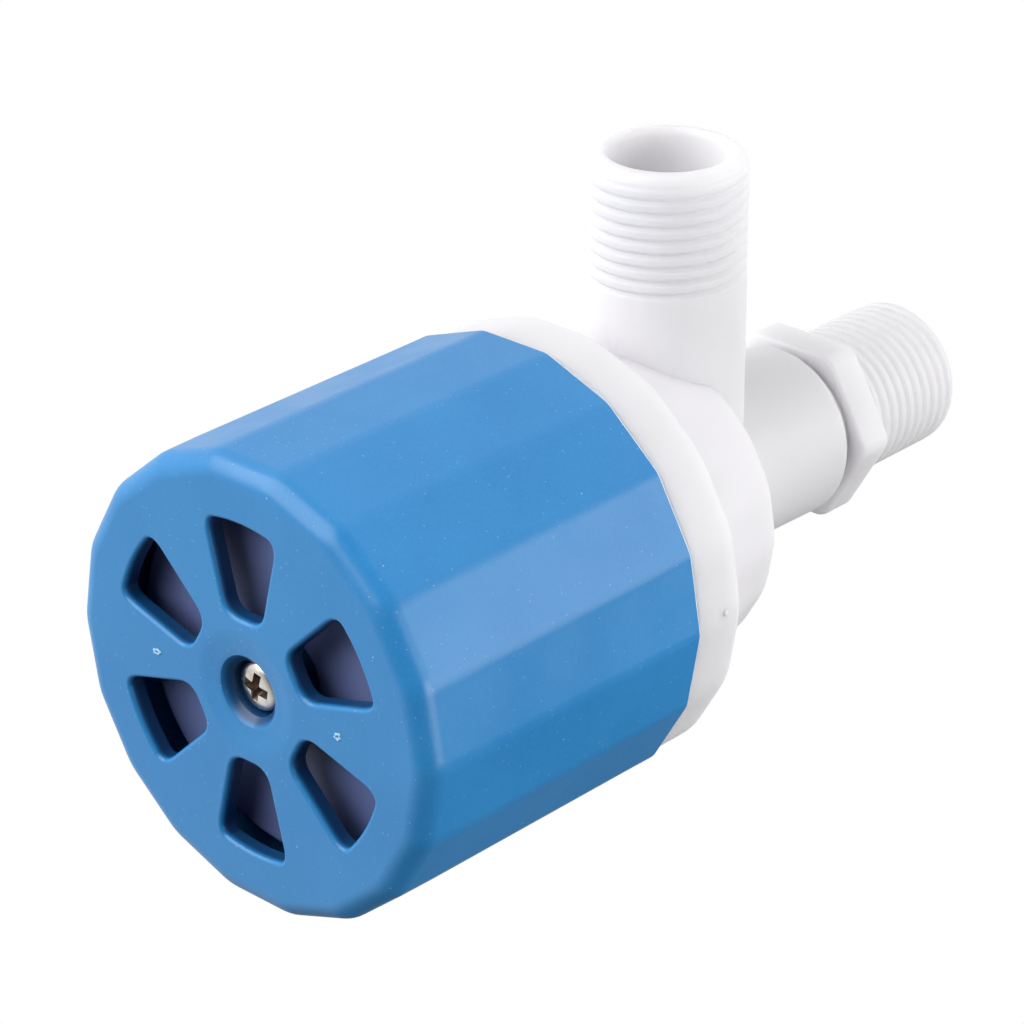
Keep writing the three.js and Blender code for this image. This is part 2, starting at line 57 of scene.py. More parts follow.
# The visual face of the cup lies a little above the CAD's, so that the gate marks stay in the CAD box.
CUP = {"face": 0.15, "face_r": 30.3, "rim_r": 30.7, "height": 47.75}
CUP.update({"wall": 2.05, "floor": 2.5, "edge_r": 3.0, "corner_r": 7.0, "lip_corner_r": 4.0})
WINDOW = {"count": 6, "inner_r": 9.6, "outer_r": 22.2, "half_at_axis": 0.57, "flare": 0.245}
WINDOW.update({"inner_corner": 2.1, "outer_corner": 2.4, "edge_r": 0.6})
DISH = {"r": 8.4, "z": 0.5}
RECESS = {"mouth_r": 4.65, "throat_r": 3.75, "cone": 1.5, "floor": 4.4, "boss_r": 5.6, "boss_top": 6.8}
SCREW = {"apex": 1.68, "edge": 2.6, "head_r": 3.2, "head_top": 4.3, "shank_r": 1.45, "tip": 17.6}
CROSS = {"turn": 10, "reach": 2.0, "half_width": 0.62, "depth": 1.9}
CROSS.update({"low_reach": 0.8, "low_half_width": 0.3})
SCREW_HOLE_R = 1.75
GATE = {"place_r": 15.5, "ring_r": 0.36, "thick": 0.15}
FLOAT = {"r": 24.2, "bottom": 6.0, "wall": 1.2, "top": 27.7, "bore_r": 3.6}
FLOAT.update({"recess_r": 6.6, "recess_z": 7.1, "edge_r": 0.9})

FLANGE = {"r": 30.1, "bottom": 48.2, "top": 57.0, "edge_r": 1.6, "corner_r": 13.0}
NIB = {"r": 0.42, "flat": 80, "along": 4.6, "z": 53.25}
DRUM = {"base_r": 24.2, "top_r": 21.6, "top": 76.0, "foot_r": 2.2, "crown_r": 4.0, "corner_r": 12.0}
NECK = {"base_r": 11.7, "top_r": 12.1, "top": 101.4, "foot_r": 1.1, "crown_r": 1.2}
NECK.update({"socket_r": 9.3, "socket_z": 84.0})
SPIGOT = {"r": 27.5, "bottom": 46.0, "bore_r": 26.2, "clamp_z": 55.7}
CHAMBER = {"r": 15.8, "top": 74.0, "tube_r": 8.6}
SCREW_CIRCLE = {"count": 6, "r": 19.6, "hole_r": 1.6, "tip": 63.0}
PORT = {"z": 76.4, "shank_r": 10.5, "bore_r": 7.75, "thread": 30.4, "end": 47.49}
PORT.update({"tip_r": 1.5, "tip_length": 2.7})
NIPPLE = {"bottom": 86.4, "stub_r": 9.0, "groove_r": 7.9, "groove_low": 89.0, "groove_high": 90.8}
NIPPLE.update({"hex_z": 102.7, "flats": 24.0, "corner_r": 2.6, "edge_r": 0.55, "neck_r": 9.7})
NIPPLE.update({"thread": 109.9, "end": 127.59, "tip_r": 0.9, "tip_length": 1.5})
NIPPLE.update({"bore_r": 7.5, "lower_bore_r": 6.5, "step": 104.0})
THREAD = {"crest_r": 10.42, "pitch": 1.814, "depth": 0.62, "run_in": 0.7, "rows_per_turn": 14}
THREAD["groove"] = 0.62  # share of the pitch that the groove takes

# ---------------------------------------------------------------- mesh helpers


def polar(radius, degrees):
    angle = math.radians(degrees)
    return radius * math.cos(angle), radius * math.sin(angle)


def circle(radius, segments=96):
    return [polar(radius, 360 * i / segments) for i in range(segments)]


def facets(radius, rounding, steps=5):
    """An outline of flats with corners at this radius, each corner rounded."""
    outline = []
    centre = (radius * INNER - rounding) / INNER
    half = 180 / FACETS
    for k in range(FACETS):
        corner = FACET_PHASE + k * 2 * half
        cx, cy = polar(centre, corner)
        for i in range(steps):
            dx, dy = polar(rounding, corner - half + 2 * half * i / (steps - 1))
            outline.append((cx + dx, cy + dy))
    return outline


def arc(centre_r, centre_z, radius, start, end, steps=6):
    """Points of a [radius, height] profile on an arc, from one angle to another in degrees."""
    points = []
    for i in range(steps):
        dr, dz = polar(radius, start + (end - start) * i / (steps - 1))
        points.append((centre_r + dr, centre_z + dz))
    return points


def skin(rings, closed=False):
    """A solid through rings of points, capped at its ends unless the last ring meets the first."""
    bm = bmesh.new()
    rows = [[bm.verts.new(point) for point in ring] for ring in rings]
    pairs = list(zip(rows, rows[1:]))
    if closed:
        pairs.append((rows[-1], rows[0]))
    else:
        bm.faces.new(rows[0])
        bm.faces.new(rows[-1])
    count = len(rows[0])
    for low, high in pairs:
        for i in range(count):
            j = (i + 1) % count
            bm.faces.new((low[i], low[j], high[j], high[i]))
    bmesh.ops.recalc_face_normals(bm, faces=bm.faces)
    return bm


def lathe(profile, segments=96, closed=False):
    return skin([[(x, y, z) for x, y in circle(r, segments)] for r, z in profile], closed)


def faceted(profile, closed=False):
    """A turned solid with flats. The profile's rows are corner radius, height and corner rounding."""
    return skin([[(x, y, z) for x, y in facets(r, rounding)] for r, z, rounding in profile], closed)


def as_object(name, bm):
    mesh = bpy.data.meshes.new(name)
    bm.to_mesh(mesh)
    bm.free()
    made = bpy.data.objects.new(name, mesh)
    bpy.context.scene.collection.objects.link(made)
    return made


def combine(base, tool, operation):
    """Joins a bmesh to an object, or cuts the object with it."""
    other = as_object("tool", tool)
    boolean = base.modifiers.new("boolean", "BOOLEAN")
    boolean.object = other
    boolean.operation = operation
    boolean.solver = "MANIFOLD"
    result = bpy.data.meshes.new_from_object(base.evaluated_get(bpy.context.evaluated_depsgraph_get()))
    base.modifiers.clear()
    base.data = result
    bpy.data.objects.remove(other)
    return base


def join(base, *tools):
    for tool in tools:
        combine(base, tool, "UNION")
    return base


def cut(base, *tools):
    for tool in tools:
        combine(base, tool, "DIFFERENCE")
    return base


def moved(bm, matrix):
    bmesh.ops.transform(bm, matrix=matrix, verts=bm.verts)
    return bm


def turned_about_z(bm, degrees):
    return moved(bm, Matrix.Rotation(math.radians(degrees), 4, "Z"))


def along_x(bm):
    """Lays a piece built along +Z down along the side branch."""
    return moved(bm, Matrix.Translation((0, 0, PORT["z"])) @ Matrix.Rotation(math.pi / 2, 4, "Y"))


def finished(made, body, nodes, materials, sharp=32):
    """Moves a piece into the row frame, shades it and puts it on its body in place of its CAD nodes."""
    made.data.transform(Matrix.Translation((0, 0, -SHOULDER / 1000)) @ Matrix.Scale(0.001, 4))
    made.data.materials.clear()
    for material in materials:
        made.data.materials.append(material)
    made.data.shade_smooth()
    made.data.set_sharp_from_angle(angle=math.radians(sharp))
    weighted = made.modifiers.new("weighted", "WEIGHTED_NORMAL")
    weighted.keep_sharp = True
    weighted.weight = 80
    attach(made, body)
    if nodes:
        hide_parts(*nodes)
    return made


# ---------------------------------------------------------------- material helpers


class Paint:
    """A Principled material whose textures lie in object space, which is the row frame."""

    def __init__(self, name, **constants):
        self.material = bpy.data.materials.new(name)
        self.material.use_nodes = True
        self.tree = self.material.node_tree
        self.shader = self.tree.nodes["Principled BSDF"]
        for socket, value in constants.items():
            self.shader.inputs[socket.replace("_", " ")].default_value = value
        self.place = self.node("ShaderNodeTexCoord").outputs["Object"]

    def node(self, kind, links=(), **settings):
        made = self.tree.nodes.new(kind)
        for key, value in settings.items():
            setattr(made, key, value)
        for socket, value in dict(links).items():
            if isinstance(value, bpy.types.NodeSocket):
                self.tree.links.new(value, made.inputs[socket])
            else:
                made.inputs[socket].default_value = value
        return made

    def noise(self, scale, detail=3.0, rough=0.55, place=None):
        links = {"Vector": place or self.place, "Scale": scale, "Detail": detail, "Roughness": rough}
        return self.node("ShaderNodeTexNoise", links).outputs["Fac"]

    def stretched(self, turn, scale):
        links = {"Vector": self.place, "Rotation": turn, "Scale": scale}
        return self.node("ShaderNodeMapping", links).outputs["Vector"]

    def span(self, value, low, high, to_low=0.0, to_high=1.0):
        """Maps a range of values to another, smoothly and with clamping."""
        links = {"Value": value, "From Min": low, "From Max": high, "To Min": to_low, "To Max": to_high}
        return self.node("ShaderNodeMapRange", links, interpolation_type="SMOOTHSTEP").outputs["Result"]

    def times(self, a, b):
        return self.node("ShaderNodeMath", {0: a, 1: b}, operation="MULTIPLY").outputs[0]

    def larger(self, a, b):
        return self.node("ShaderNodeMath", {0: a, 1: b}, operation="MAXIMUM").outputs[0]

    def specks(self, scale, size, share, place=None):
        """Small scattered dots: 1 inside a dot, in this share of the cells of a grid."""
        cells = self.node("ShaderNodeTexVoronoi", {"Vector": place or self.place, "Scale": scale})
        near = self.span(cells.outputs["Distance"], size, size * 0.45)
        pick = self.node("ShaderNodeSeparateColor", {"Color": cells.outputs["Color"]}).outputs["Red"]
        chosen = self.node("ShaderNodeMath", {0: pick, 1: 1 - share}, operation="GREATER_THAN")
        return self.times(near, chosen.outputs[0])

    def blend(self, factor, a, b):
        mixer = self.node("ShaderNodeMix", data_type="RGBA")
        for index, value in ((0, factor), (6, a), (7, b)):
            if isinstance(value, bpy.types.NodeSocket):
                self.tree.links.new(value, mixer.inputs[index])
            else:
                mixer.inputs[index].default_value = value
        return mixer.outputs[2]

    def use(self, socket, value):
        self.tree.links.new(value, self.shader.inputs[socket])
        return self

    def bump(self, height, distance, strength=1.0):
        links = {"Height": height, "Distance": distance, "Strength": strength}
        return self.use("Normal", self.node("ShaderNodeBump", links).outputs["Normal"])


def rgb(red, green, blue):
    return (red, green, blue, 1.0)


def blue_plastic():
    """Satin moulded blue with light dust, and a painted shade that darkens it inside the windows and
    the screw's recess.
    """
    paint = Paint("blue_plastic", Metallic=0.0, Coat_Weight=0.0)
    tone = paint.span(paint.noise(45, 4), 0.35, 0.7)
    base = paint.blend(tone, rgb(0.023, 0.226, 0.55), rgb(0.029, 0.248, 0.585))
    grain = paint.span(paint.noise(2600, 2), 0.4, 0.72)
    base = paint.blend(paint.times(grain, 0.12), base, rgb(0.08, 0.36, 0.68))
    fine_dust = paint.times(paint.specks(1300, 0.15, 0.22), 0.45)
    dust = paint.larger(paint.specks(620, 0.075, 0.18), fine_dust)
    base = paint.blend(paint.times(dust, 0.8), base, rgb(0.55, 0.72, 0.85))
    # Painted shade: behind the face and within reach of the window rims, the blue turns near-black in
    # the walls of the windows and the screw's recess, where shade falls.
    flat = paint.node("ShaderNodeVectorMath", {0: paint.place, 1: (1, 1, 0)}, operation="MULTIPLY")
    across = {0: flat.outputs["Vector"]}
    reach = paint.node("ShaderNodeVectorMath", across, operation="LENGTH").outputs["Value"]
    height = paint.node("ShaderNodeSeparateXYZ", {"Vector": paint.place}).outputs["Z"]
    rim, face = WINDOW["outer_r"] / 1000, (CUP["face"] - SHOULDER) / 1000
    within_rim = paint.span(reach, rim + 0.004, rim + 0.0026)
    behind_face = paint.span(height, face + 0.0002, face + 0.00115)
    painted_shade = paint.times(within_rim, behind_face)
    base = paint.blend(paint.times(painted_shade, 0.85), base, rgb(0.002, 0.022, 0.09))
    paint.use("Base Color", base)
    paint.use("Roughness", paint.span(paint.noise(160, 4), 0.3, 0.75, 0.29, 0.37))
    return paint.bump(paint.noise(1900, 2), 0.00001, 0.5).material


def painted_highlight_lip():
    """A painted highlight on the thin lip of the cup: pale colour standing in for the light that the
    edge of the moulding catches.
    """
    paint = Paint("painted_highlight_lip", Metallic=0.0)
    lip_highlight_mottle = paint.span(paint.noise(900, 3), 0.3, 0.65)
    paint.use("Base Color", paint.blend(lip_highlight_mottle, rgb(0.55, 0.74, 0.9), rgb(0.86, 0.92, 0.97)))
    paint.use("Roughness", paint.span(lip_highlight_mottle, 0, 1, 0.35, 0.5))
    return paint.bump(paint.noise(1500, 2), 0.00003, 0.4).material


def gate_scar():
    """Torn plastic, glossier than the moulded face. Its pale patches are partly the torn plastic's own
    colour and partly a painted highlight.
    """
    paint = Paint("gate_scar", Metallic=0.0)
    tear_and_highlight = paint.noise(3000, 3)
    paint.use("Base Color", paint.blend(tear_and_highlight, rgb(0.08, 0.38, 0.68), rgb(0.6, 0.84, 0.94)))
    paint.use("Roughness", paint.span(paint.noise(2500, 2), 0.3, 0.7, 0.1, 0.25))
    return paint.bump(paint.noise(3500, 2), 0.00005, 0.6).material


def white_plastic(name="white_plastic", glow=0.9):
    """Moulded white that light sinks into, with faint flow marks and a little dirt."""
    depth = {"Subsurface_Radius": (1.0, 0.95, 0.95), "Subsurface_Scale": 0.007}
    paint = Paint(name, Metallic=0.0, Subsurface_Weight=glow, **depth)
    flow = paint.span(paint.noise(35, 4, 0.5, paint.stretched((0, 0, 0), (1, 1, 0.35))), 0.3, 0.75)
    base = paint.blend(flow, rgb(0.8, 0.785, 0.815), rgb(0.83, 0.815, 0.845))
    base = paint.blend(paint.times(paint.specks(300, 0.06, 0.03), 0.3), base, rgb(0.45, 0.43, 0.42))
    paint.use("Base Color", base)
    paint.use("Roughness", paint.span(paint.noise(120, 4), 0.3, 0.75, 0.48, 0.6))
    return paint.bump(paint.noise(900, 3), 0.00004, 0.35).material


def float_plastic():
    """Matte blue-black, smudged with dust from the tank."""
    paint = Paint("float_plastic", Metallic=0.0)
    smudge = paint.span(paint.noise(90, 3, 0.5), 0.35, 0.8)
    base = paint.blend(smudge, rgb(0.135, 0.18, 0.4), rgb(0.165, 0.21, 0.44))
    dust = paint.specks(900, 0.1, 0.06)
    paint.use("Base Color", paint.blend(paint.times(dust, 0.3), base, rgb(0.25, 0.24, 0.24)))
    paint.use("Roughness", paint.span(paint.noise(200, 4), 0.3, 0.75, 0.5, 0.6))
    return paint.bump(paint.noise(1400, 3), 0.00002, 0.2).material


def rubber():
    paint = Paint("rubber", Metallic=0.0)
    bloom = paint.span(paint.noise(180, 5, 0.6), 0.4, 0.8)
    paint.use("Base Color", paint.blend(bloom, rgb(0.02, 0.02, 0.022), rgb(0.05, 0.05, 0.055)))
    paint.use("Roughness", paint.span(paint.noise(400, 3), 0.3, 0.7, 0.62, 0.8))
    return paint.bump(paint.noise(2200, 3), 0.00006, 0.7).material


def stainless():
    """Bright rolled steel with fine lines and slight staining."""
    paint = Paint("stainless", Metallic=1.0)
    colour_mottle = paint.span(paint.noise(700, 4, 0.6), 0.45, 0.75)
    paint.use("Base Color", paint.blend(colour_mottle, rgb(0.80, 0.78, 0.75), rgb(0.62, 0.55, 0.48)))
    lines = paint.noise(900, 3, 0.6, paint.stretched((0.2, 0.4, 0), (1, 1, 6)))
    paint.use("Roughness", paint.span(lines, 0.3, 0.75, 0.14, 0.3))
    return paint.bump(lines, 0.00002, 0.35).material


def screw_slot():
    """Dark brown walls for the screw's cross recess."""
    paint = Paint("screw_slot", Metallic=0.7)
    colour_mottle = paint.span(paint.noise(1500, 3), 0.35, 0.7)
    paint.use("Base Color", paint.blend(colour_mottle, rgb(0.16, 0.115, 0.085), rgb(0.34, 0.26, 0.2)))
    paint.use("Roughness", paint.span(paint.noise(1200, 3), 0.3, 0.7, 0.35, 0.55))
    return paint.bump(paint.noise(1800, 2), 0.00003, 0.4).material


MATERIALS = {
    "blue_plastic": blue_plastic(),
    "white_plastic": white_plastic(),
    "float_plastic": float_plastic(),
    "rubber": rubber(),
    "stainless": stainless(),
}
# A painted highlight for the cup's lip.
LIP_HIGHLIGHT = painted_highlight_lip()
SCAR = gate_scar()
STUB = white_plastic("white_stub", 0.0)  # for the nib, which is too small for light to sink into
SLOT = screw_slot()


def paint_cad_nodes():
    """Each CAD node that still shows takes the finish of its material slot."""
    slots = {part["node"]: part["material_slot"] for part in frame["record"]["subparts"]}
    for name, node in frame["nodes"].items():
        if not node.material_slots:
            node.data.materials.append(None)
        for place in node.material_slots:
            place.link = "OBJECT"
            place.material = MATERIALS[slots[name]]


# ---------------------------------------------------------------- cup


def window_outline(offset):
    """A wedge with rounded corners, its narrow end towards the axis, grown outwards by an offset."""

    def half(radius):
        return WINDOW["half_at_axis"] + WINDOW["flare"] * radius

    inner, outer = WINDOW["inner_r"], WINDOW["outer_r"]
    inner_corner, outer_corner = WINDOW["inner_corner"], WINDOW["outer_corner"]
    edge = math.degrees(math.asin(half(outer * 0.97) / outer))  # the sides meet the rim just inside it
    rim = [polar(outer, edge * step / 4) for step in range(-4, 5)]
    corners = [(inner, -half(inner)), *rim, (inner, half(inner))]
    radii = [inner_corner, outer_corner, *[0.0] * (len(rim) - 2), outer_corner, inner_corner]
    outline = []
    count = len(corners)
    for i, corner in enumerate(corners):
        here = Vector(corner)
        back = Vector(corners[i - 1]) - here
        ahead = Vector(corners[(i + 1) % count]) - here
        if radii[i] == 0:
            outline.append(here)
            continue
        reach_back = min(radii[i], back.length * 0.95)
        reach_ahead = min(radii[i], ahead.length * 0.95)
        first = here + back.normalized() * reach_back
        last = here + ahead.normalized() * reach_ahead
        for step in range(7):
            t = step / 6
            outline.append((1 - t) ** 2 * first + 2 * t * (1 - t) * here + t**2 * last)
    grown = []
    for i, point in enumerate(outline):
        along = outline[(i + 1) % len(outline)] - outline[i - 1]
        grown.append(point + offset * Vector((along.y, -along.x)).normalized())
    return grown


def window_cutter():
    """Cuts one window, with its outer edge rounded over."""
    edge, face = WINDOW["edge_r"], CUP["face"]
    rows = [(edge * 1.6, face - 0.6)]
    for step in range(6):
        angle = math.radians(90 * step / 5)
        rows.append((edge * (1 - math.sin(angle)), face + edge * (1 - math.cos(angle))))
    rows.append((-0.05, CUP["floor"] + 1))
    return skin([[(p.x, p.y, z) for p in window_outline(offset)] for offset, z in rows])


def dish():
    """Cuts the shallow dish of the face and, in its middle, the recess of the screw."""
    face, mouth, throat = CUP["face"], RECESS["mouth_r"], RECESS["throat_r"]
    rim, low = DISH["r"], DISH["z"]
    profile = [(rim, face - 0.6), (rim, face)]
    for step in range(1, 6):
        t = step / 5
        drop = t * t * (3 - 2 * t)
        profile.append((rim + (mouth + 0.16 - rim) * t, face + (low - face) * drop))
    profile += [(mouth + 0.05, low + 0.04), (mouth, low + 0.12)]
    throat_low = [(throat, RECESS["cone"]), (throat - 0.12, RECESS["cone"] + 0.12)]
    return lathe([*profile, *throat_low, (throat - 0.2, RECESS["floor"])], 96)


def cup():
    face_r, rim_r, height, edge = CUP["face_r"], CUP["rim_r"], CUP["height"], CUP["edge_r"]
    wall, floor, corner, lip_corner = CUP["wall"], CUP["floor"], CUP["corner_r"], CUP["lip_corner_r"]
    rounded = [(r, z, corner) for r, z in arc(face_r - edge, CUP["face"] + edge, edge, -90, 0, 12)]
    outside = [*rounded, (face_r + 0.1, 8.0, 6.5), (rim_r - 0.05, height - 5, 5.0)]
    lip = [(rim_r, height - 0.28), (rim_r - 0.1, height - 0.08), (rim_r - 0.3, height)]
    lip = [(r, z, lip_corner) for r, z in [*lip, (rim_r - wall, height)]]
    inner_r = face_r - wall
    painted_shade = [(inner_r, floor + 1.5, 5.0), (inner_r - 1.5, floor, 5.0)]
    made = as_object("cup", faceted(outside + lip + painted_shade))
    boss_r, boss_top = RECESS["boss_r"], RECESS["boss_top"]
    join(made, lathe([(boss_r, floor - 0.5), (boss_r, boss_top)], 64))
    cut(made, dish(), lathe([(SCREW_HOLE_R, 1), (SCREW_HOLE_R, boss_top + 1)], 32))
    for i in range(WINDOW["count"]):
        cut(made, turned_about_z(window_cutter(), 360 * i / WINDOW["count"]))
    # The faces on the lip take the second material, a painted highlight.
    rim = []
    for face in made.data.polygons:
        if face.center.z > height - 0.29 and face.center.xy.length > rim_r * INNER - 0.45:
            rim.append(face)
    finished(made, "valve", ["cup_housing"], [MATERIALS["blue_plastic"], LIP_HIGHLIGHT])
    for face in rim:
        face.material_index = 1
    return made


def gate_nib(name, side):
    """The torn ring that the mould's gate left on the face."""
    ring = []
    for step in range(12):
        dr, dz = polar(GATE["thick"], 30 * step)
        ring.append((GATE["ring_r"] + 1.3 * dr, dz))
    bm = lathe(ring, 40, closed=True)
    for vert in bm.verts:
        x, y, z = vert.co
        around = math.atan2(y, x)
        ragged = 1 + 0.16 * math.sin(2 * around + side) + 0.14 * math.sin(5 * around - side)
        vert.co = (x * ragged * 0.85, y * ragged * 1.2, z)
    moved(bm, Matrix.Translation((0.0, side * GATE["place_r"], CUP["face"] + 0.01)))
    return finished(as_object(name, bm), "valve", [], [SCAR], 60)


# ---------------------------------------------------------------- screw


def cross_cutter():
    """Cuts one arm pair of the cross recess, narrower and shorter at its bottom."""
    reach, half, apex = CROSS["reach"], CROSS["half_width"], SCREW["apex"]
    rows = [(reach, half, apex - 0.3), (reach - 0.05, half - 0.04, apex + 0.3)]
    rows.append((CROSS["low_reach"], CROSS["low_half_width"], apex + CROSS["depth"]))
    return skin([[(a, b, z), (-a, b, z), (-a, -b, z), (a, -b, z)] for a, b, z in rows])


def cup_screw():
    apex, head_r, head_top = SCREW["apex"], SCREW["head_r"], SCREW["head_top"]
    shank_r, tip = SCREW["shank_r"], SCREW["tip"]
    rise = SCREW["edge"] - apex
    dome = []
    for degrees in range(4, 91, 6):
        angle = math.radians(degrees)
        dome.append((head_r * math.sin(angle), apex + rise * (1 - math.cos(angle))))
    flank = [(head_r, head_top - 0.3), (head_r - 0.1, head_top), (shank_r, head_top)]
    made = as_object("cup_screw_detail", lathe([*dome, *flank], 64))
    join(made, lathe([(shank_r, head_top - 0.2), (shank_r, tip - 1.1), (0.2, tip)], 32))
    for turn in (CROSS["turn"], CROSS["turn"] + 90):
        cut(made, turned_about_z(cross_cutter(), turn))
    cut(made, lathe([(0.95, apex - 0.3), (0.9, apex + 0.7), (0.1, apex + 1.7)], 24))
    slots = []
    for face in made.data.polygons:
        r = face.center.xy.length
        dome_z = apex + rise * (1 - math.sqrt(max(0.0, 1 - (r / head_r) ** 2)))
        if r < CROSS["reach"] + 0.1 and dome_z + 0.12 < face.center.z < head_top - 0.4:
            slots.append(face)
    finished(made, "valve", ["cup_screw"], [MATERIALS["stainless"], SLOT])
    for face in slots:
        face.material_index = 1
    return made


# ---------------------------------------------------------------- float


def float_shell():
    r, bottom, wall, top = FLOAT["r"], FLOAT["bottom"], FLOAT["wall"], FLOAT["top"]
    bore, edge = FLOAT["bore_r"], FLOAT["edge_r"]
    recess_r, recess_z = FLOAT["recess_r"], FLOAT["recess_z"]
    ceiling = recess_z + 1.5  # top of the material over the recess
    outer = [(recess_r, bottom + 0.3), (recess_r + 0.3, bottom)]
    outer += [*arc(r - edge, bottom + edge, edge, -90, 0), (r, top)]
    inner = [(r - wall, top), (r - wall, bottom + wall), (recess_r + wall, bottom + wall)]
    tube = [(recess_r + wall, ceiling), (bore + wall, ceiling), (bore + wall, top), (bore, top)]
    ends = [(bore, recess_z), (recess_r, recess_z)]
    made = as_object("float_shell_detail", lathe(outer + inner + tube + ends, 128, closed=True))
    return finished(made, "float", ["float_shell"], [MATERIALS["float_plastic"]])


# ---------------------------------------------------------------- threads


def groove(phase):
    """Depth of the thread's groove over one pitch, from 0 on the broad crest to 1 in the groove."""
    across = abs((phase % 1.0) - 0.5) * 2
    t = max(0.0, 1 - across / THREAD["groove"])
    return t * t * (3 - 2 * t)


def threaded(start, first, end, round_r, round_z, segments=96):
    """A solid of revolution that ends in a right-hand thread with a rounded tip.

    start is the plain profile below the thread, which begins at first. The tip is a quarter ellipse,
    round_r across and round_z along. The groove runs in at the start and fades out before the tip.
    """
    pitch, crest, depth = THREAD["pitch"], THREAD["crest_r"], THREAD["depth"]
    rows = round((end - first) / pitch * THREAD["rows_per_turn"])
    rings = [[(x, y, z) for x, y in circle(r, segments)] for r, z in start]
    for row in range(rows + 1):
        z = first + (end - first) * row / rows
        up = max(0.0, 1 - (end - z) / round_z)
        envelope = crest - round_r * (1 - math.sqrt(1 - up * up))
        run_in, run_out = (z - first) / THREAD["run_in"], (end - z - 0.45 * round_z) / (0.6 * round_z)
        fade = max(0.0, min(1.0, run_in, run_out))
        ring = []
        for i in range(segments):
            turn = i / segments
            r = envelope - depth * groove((z - first) / pitch - turn) * fade
            ring.append((*polar(r, 360 * turn), z))
        rings.append(ring)
    return skin(rings)


# ---------------------------------------------------------------- valve body


def valve_body():
    flange_r, low, high = FLANGE["r"], FLANGE["bottom"], FLANGE["top"]
    edge, foot, crown_r = FLANGE["edge_r"], DRUM["foot_r"], DRUM["crown_r"]
    flange = [(flange_r - 0.35, low), (flange_r, low + 0.3)]
    flange += arc(flange_r - edge, high - edge, edge, 0, 90, 7)
    flange = [(r, z, FLANGE["corner_r"]) for r, z in flange]
    base_r, top_r, top = DRUM["base_r"], DRUM["top_r"], DRUM["top"]
    drum = arc(base_r + foot, high + foot, foot, 270, 180, 7)
    drum += arc(top_r - crown_r, top - crown_r, crown_r, 5, 90, 10)
    drum = [(r, z, DRUM["corner_r"]) for r, z in drum]
    made = as_object("body_shell", faceted(flange + drum))
    neck_base_r, neck_r, neck_top = NECK["base_r"], NECK["top_r"], NECK["top"]
    foot, crown_r = NECK["foot_r"], NECK["crown_r"]
    neck = [(neck_base_r, top - 3), *arc(neck_base_r + foot, top + 1.0, foot, 270, 180, 5)[1:]]
    neck += arc(neck_r - crown_r, neck_top - crown_r, crown_r, 0, 90, 7)
    join(made, lathe(neck, 96))
    join(made, lathe([(SPIGOT["r"], SPIGOT["bottom"]), (SPIGOT["r"], low + 1)], 96))
    root = [(PORT["shank_r"], 6.0), (PORT["shank_r"], PORT["thread"] - 0.4)]
    shank = threaded(root, PORT["thread"], PORT["end"], PORT["tip_r"], PORT["tip_length"])
    join(made, along_x(shank))
    clamp_z = SPIGOT["clamp_z"]
    cavities = [
        lathe([(SPIGOT["bore_r"], SPIGOT["bottom"] - 1), (SPIGOT["bore_r"], clamp_z)], 96),
        lathe([(CHAMBER["r"], clamp_z - 1), (CHAMBER["r"], CHAMBER["top"])], 96),
        lathe([(CHAMBER["tube_r"], CHAMBER["top"] - 1), (CHAMBER["tube_r"], NECK["socket_z"] + 1)], 64),
        lathe([(NECK["socket_r"], NECK["socket_z"]), (NECK["socket_r"], neck_top + 1)], 96),
        along_x(port_bore()),
    ]
    cut(made, *cavities)
    hole_r = SCREW_CIRCLE["hole_r"]
    for i in range(SCREW_CIRCLE["count"]):
        x, y = polar(SCREW_CIRCLE["r"], 360 * i / SCREW_CIRCLE["count"])
        hole = lathe([(hole_r, clamp_z - 1), (hole_r, SCREW_CIRCLE["tip"])], 20)
        cut(made, moved(hole, Matrix.Translation((x, y, 0))))
    return finished(made, "valve", ["valve_body"], [MATERIALS["white_plastic"]])


def port_bore():
    """The bore of the side branch, with its mouth rounded over."""
    bore, end = PORT["bore_r"], PORT["end"]
    mouth = [(bore, end - 1.0), (bore + 0.12, end - 0.45), (bore + 0.5, end), (bore + 1.2, end + 0.6)]
    return lathe([(bore, 10.4), *mouth])


def flange_nib():
    """A small gate stub on one of the flange's flats, near the flat's edge."""
    bm = bmesh.new()
    bmesh.ops.create_uvsphere(bm, u_segments=20, v_segments=12, radius=NIB["r"])
    squash = Matrix.Diagonal((0.5, 1, 1, 1))
    onto_flat = Matrix.Translation((FLANGE["r"] * INNER, NIB["along"], NIB["z"]))
    moved(bm, Matrix.Rotation(math.radians(NIB["flat"]), 4, "Z") @ onto_flat @ squash)
    return finished(as_object("flange_nib", bm), "valve", [], [STUB], 60)


# ---------------------------------------------------------------- inlet nipple


def hexagon_outline(inset):
    """The hexagon's rounded outline, with corners at 30 + 60k degrees."""
    radius = NIPPLE["flats"] / 2 - inset
    rounding = NIPPLE["corner_r"]
    centre = (radius - rounding) / math.cos(math.radians(30))
    outline = []
    for k in range(6):
        corner = 30 + 60 * k
        cx, cy = polar(centre, corner)
        for step in range(11):
            dx, dy = polar(rounding, corner - 30 + 6 * step)
            outline.append((cx + dx, cy + dy))
    return outline


